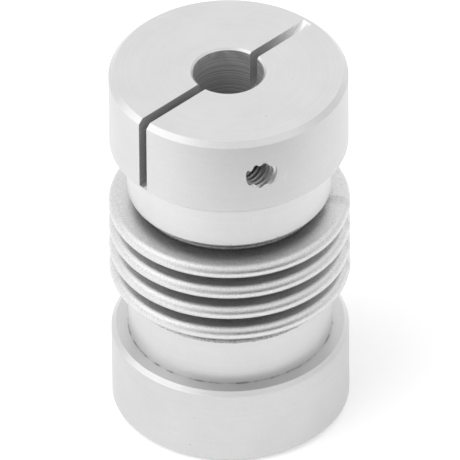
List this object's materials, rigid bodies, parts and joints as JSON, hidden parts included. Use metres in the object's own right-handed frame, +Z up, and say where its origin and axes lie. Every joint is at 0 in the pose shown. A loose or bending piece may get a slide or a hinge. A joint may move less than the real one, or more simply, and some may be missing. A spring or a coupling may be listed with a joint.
{
  "type": "bellows_coupling",
  "caption": "Clamp-hub bellows shaft coupling: aluminium hubs with saw-cut slits and cap screws, thin steel bellows bonded between their necks, on end.",
  "frame": {"origin": "centre of the lower end face, which is the bottom centre of the whole coupling", "axes": "+Z up along the shaft axis; the upper hub's saw cut lies in the XZ plane with its deep end on the -X side and its run-out towards +X; +Y completes the frame and is the side of the upper screw's head"},
  "size_m": [0.0324, 0.0324, 0.0544],
  "materials": {
    "hub_aluminium": "satin",
    "bellows_steel": "satin",
    "screw_steel": "satin"
  },
  "bodies": {
    "root": {"upper_hub": "hub_aluminium", "lower_hub": "hub_aluminium", "bellows": "bellows_steel", "upper_clamp_screw": "screw_steel", "lower_clamp_screw": "screw_steel"}
  },
  "joints": []
}
